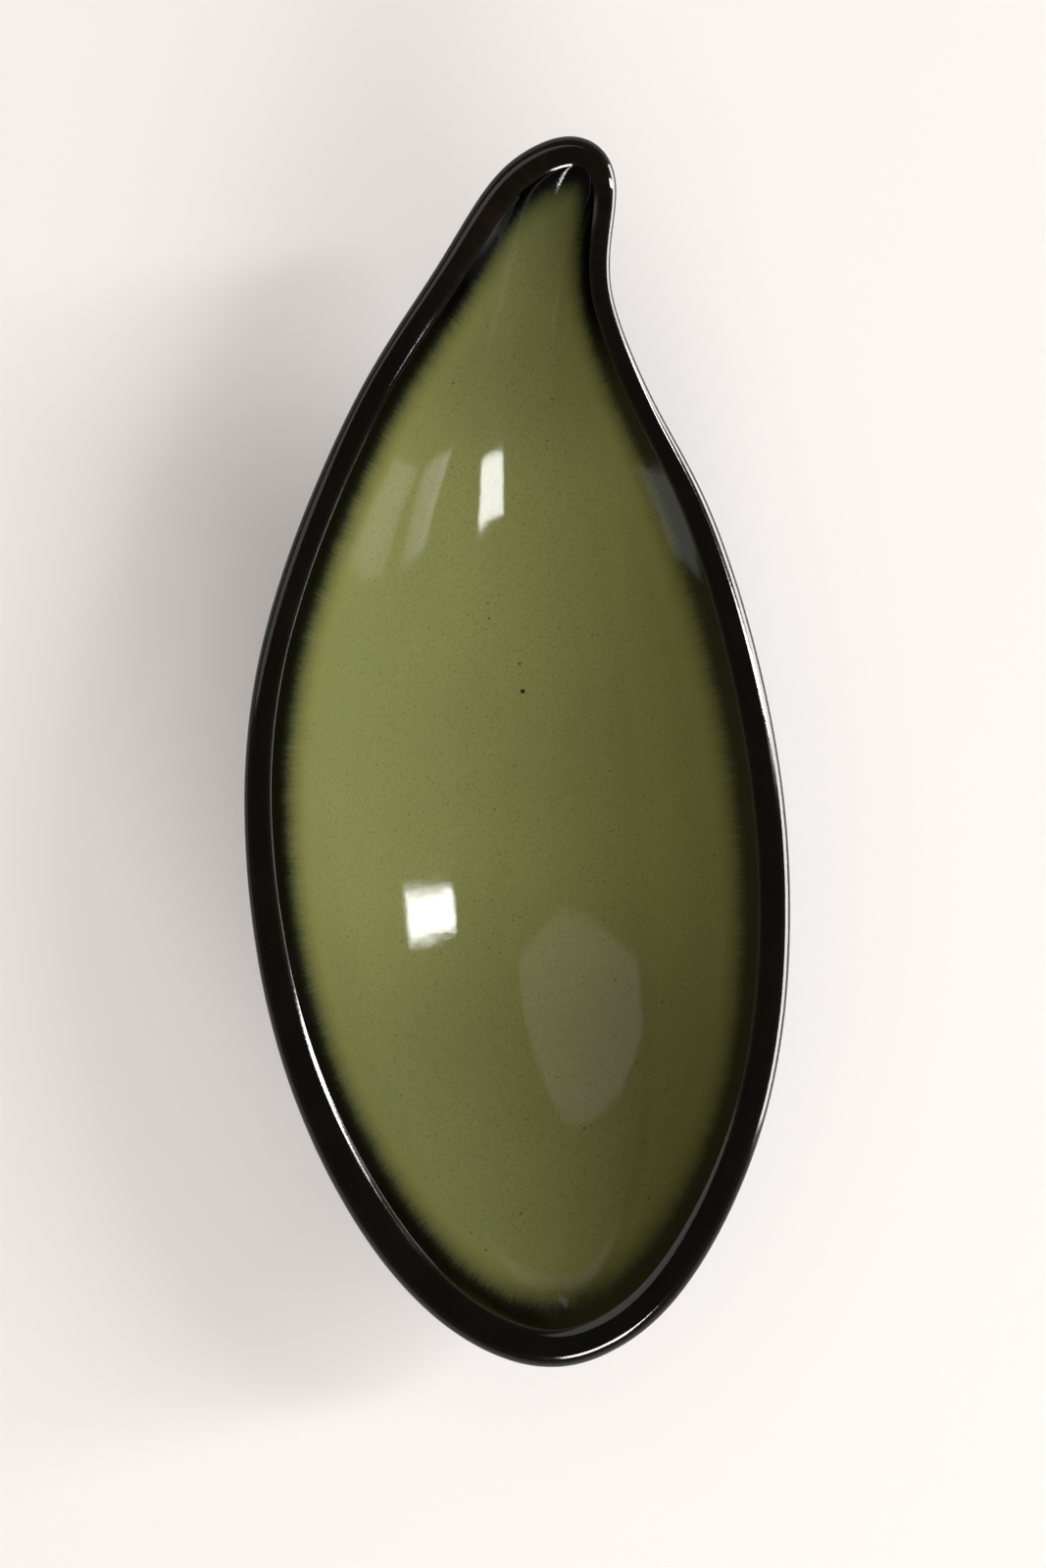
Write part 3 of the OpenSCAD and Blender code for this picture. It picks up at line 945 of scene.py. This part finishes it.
# Table
# A plain pale table top, which takes the dish's soft shadow and shows in its gloss. It sweeps up into a low
# round wall, far from the dish, so that nothing but the pale sweep stands behind it.
table_reach = 5.0
sweep_round = 1.0
wall_top = 1.05
table_sides = 96
sweep_steps = 12
white_lift = 0.24
table_pale = (0.9, 0.89, 0.88, 1)


def table_ring(reach, height):
    """Ring of the table or its wall, as wide and as high as given."""
    turn = np.linspace(0, 2 * math.pi, table_sides, endpoint=False)
    return np.column_stack((reach * np.cos(turn), reach * np.sin(turn), np.full(table_sides, height)))


table_rings = [table_ring(table_reach, 0.0)]
for turn in np.linspace(0, math.pi / 2, sweep_steps + 1)[1:]:
    reach = table_reach + sweep_round * math.sin(turn)
    table_rings.append(table_ring(reach, sweep_round * (1 - math.cos(turn))))
table_rings.append(table_ring(table_reach + sweep_round, wall_top))
table_faces = [tuple(range(table_sides))]
for k in range(len(table_rings) - 1):
    for i in range(table_sides):
        j = (i + 1) % table_sides
        low_row, high_row = k * table_sides, (k + 1) * table_sides
        table_faces.append((low_row + i, high_row + i, high_row + j, low_row + j))
table_mesh = bpy.data.meshes.new("table")
table_mesh.from_pydata(np.concatenate(table_rings).tolist(), [], table_faces)
table_mesh.shade_smooth()


def table_material():
    """Pale matt top, lifted part of the way to white where the camera or a gloss sees it; shadows stay."""
    material, tree, shader = new_material("pale_table", roughness=0.6, ior=1.45)
    shader.inputs["Base Color"].default_value = table_pale
    path = put(tree, "ShaderNodeLightPath").outputs
    seen = sums(tree, "ADD", path["Is Camera Ray"], path["Is Glossy Ray"])
    seen = sums(tree, "ADD", seen, path["Is Transmission Ray"])
    white = put(tree, "ShaderNodeEmission", {"Color": (1, 1, 1, 1), "Strength": 1.0})
    lift = sums(tree, "MULTIPLY", seen, white_lift)
    lifted = put(tree, "ShaderNodeMixShader", {0: lift, 1: shader, 2: white})
    tree.links.new(lifted.outputs[0], tree.nodes["Material Output"].inputs["Surface"])
    return material


table_mesh.materials.append(table_material())
table = bpy.data.objects.new("table", table_mesh)
bpy.context.scene.collection.objects.link(table)


# Studio
# A tall window on the right lights the dish, with a soft light from the heel side and a warm fill overhead.
# The glaze also shows a smaller window at the heel, a long low strip on the right and a dim card on the left.
lamp_target = Vector((0.0, 0.0, 45 * mm))
daylight = (1.0, 1.0, 1.0)
warm_room = (1.0, 0.85, 0.74)


def faced(lamp, azimuth, zenith, distance, roll):
    """Hangs a lamp or a card facing the dish, by its angle round it and from overhead, out of the picture."""
    turn, tilt = math.radians(azimuth), math.radians(zenith)
    away = Vector((math.cos(turn) * math.sin(tilt), math.sin(turn) * math.sin(tilt), math.cos(tilt)))
    lamp.location = lamp_target + away * distance
    facing_dish = (-away).to_track_quat("-Z", "Y") @ Quaternion((0, 0, 1), math.radians(roll))
    lamp.rotation_euler = facing_dish.to_euler()
    lamp.visible_camera = False
    bpy.context.scene.collection.objects.link(lamp)
    return lamp


def soft_lamp(name, azimuth, zenith, distance, width, height, radiance, colour=daylight, roll=0):
    """Soft rectangular lamp that faces the dish, with the brightness of its face."""
    data = bpy.data.lights.new(name, "AREA")
    data.shape = "RECTANGLE"
    data.size = width
    data.size_y = height
    data.energy = radiance * math.pi * width * height
    data.color = colour
    return faced(bpy.data.objects.new(name, data), azimuth, zenith, distance, roll)


soft_lamp("right_window", azimuth=14.5, zenith=54.8, distance=4.0, roll=-8,
          width=0.4, height=2.5, radiance=36)
heel_window = soft_lamp("heel_window", azimuth=-71.9, zenith=45, distance=1.5, roll=-12,
                        width=0.48, height=0.42, radiance=24)
heel_light = soft_lamp("heel_light", azimuth=-70, zenith=55, distance=4.0,
                       width=2.2, height=2.2, radiance=4.9)
fill = soft_lamp("fill", azimuth=0, zenith=0, distance=2.0,
                 width=3.0, height=3.0, radiance=0.86, colour=warm_room)
right_strip = soft_lamp("right_strip", azimuth=6, zenith=80.5, distance=1.6,
                        width=1.75, height=0.46, radiance=14)
for lamp in (heel_window, right_strip):
    lamp.visible_diffuse = False
for lamp in (heel_light, fill):
    lamp.visible_glossy = False


# Cut of the card on the left, in metres from its middle: round at one end and drawn to a point at the other,
# so that the bowl shows it wide above and narrow below.
card_edge = (
    (-0.24, 0.54), (0.36, 0.48), (0.75, 0.36), (1.2, 0.3), (0.95, 0.07), (0.48, -0.18), (-0.08, -0.34),
    (-0.4, -0.38), (-0.66, -0.28), (-0.86, -0.14), (-1.02, 0.05), (-1.07, 0.24), (-0.84, 0.36), (-0.5, 0.48),
)
card_glow = 0.92


def card_material():
    """Card painted with a dim glow, which shows only in the gloss and lights nothing else."""
    material = bpy.data.materials.new("card")
    material.use_nodes = True
    tree = material.node_tree
    glow = put(tree, "ShaderNodeEmission", {"Color": (1, 1, 1, 1), "Strength": card_glow})
    tree.links.new(glow.outputs[0], tree.nodes["Material Output"].inputs["Surface"])
    material.cycles.emission_sampling = "NONE"
    return material


card_mesh = bpy.data.meshes.new("left_card")
card_mesh.from_pydata([(x, y, 0.0) for x, y in card_edge], [], [tuple(range(len(card_edge)))])
card_mesh.materials.append(card_material())
card = faced(bpy.data.objects.new("left_card", card_mesh), azimuth=140, zenith=42, distance=1.5, roll=-50)
card.visible_diffuse = False
card.visible_shadow = False


room_around = 0.1
room_overhead = 0.03


def room_light():
    """Dim warm room, dimmer overhead."""
    world = bpy.data.worlds.new("studio")
    world.use_nodes = True
    tree = world.node_tree
    outlook = put(tree, "ShaderNodeTexCoord").outputs["Generated"]
    upward = put(tree, "ShaderNodeSeparateXYZ", {"Vector": outlook}).outputs["Z"]
    room = tree.nodes["Background"]
    room.inputs["Color"].default_value = (*warm_room, 1)
    glow = ranged(tree, upward, 0.55, 0.95, room_around, room_overhead)
    tree.links.new(glow.outputs[0], room.inputs["Strength"])
    return world


bpy.context.scene.world = room_light()


# Camera
# Straight above the dish, with the tip at the top of the picture, and as far off as its lens needs to take
# in the frame's height at the level of the lip.
lens_mm = 85.0
sensor_mm = 36.0
frame_height = 409.6 * mm
view_centre = Vector((1.5, -7.2, 0.0)) * mm
camera_data = bpy.data.cameras.new("camera")
camera_data.lens = lens_mm
camera_data.sensor_width = sensor_mm
camera = bpy.data.objects.new("camera", camera_data)
bpy.context.scene.collection.objects.link(camera)
camera.location = view_centre + Vector((0, 0, rim_height + frame_height * lens_mm / sensor_mm))
bpy.context.scene.camera = camera
bpy.context.scene.view_settings.view_transform = "Standard"
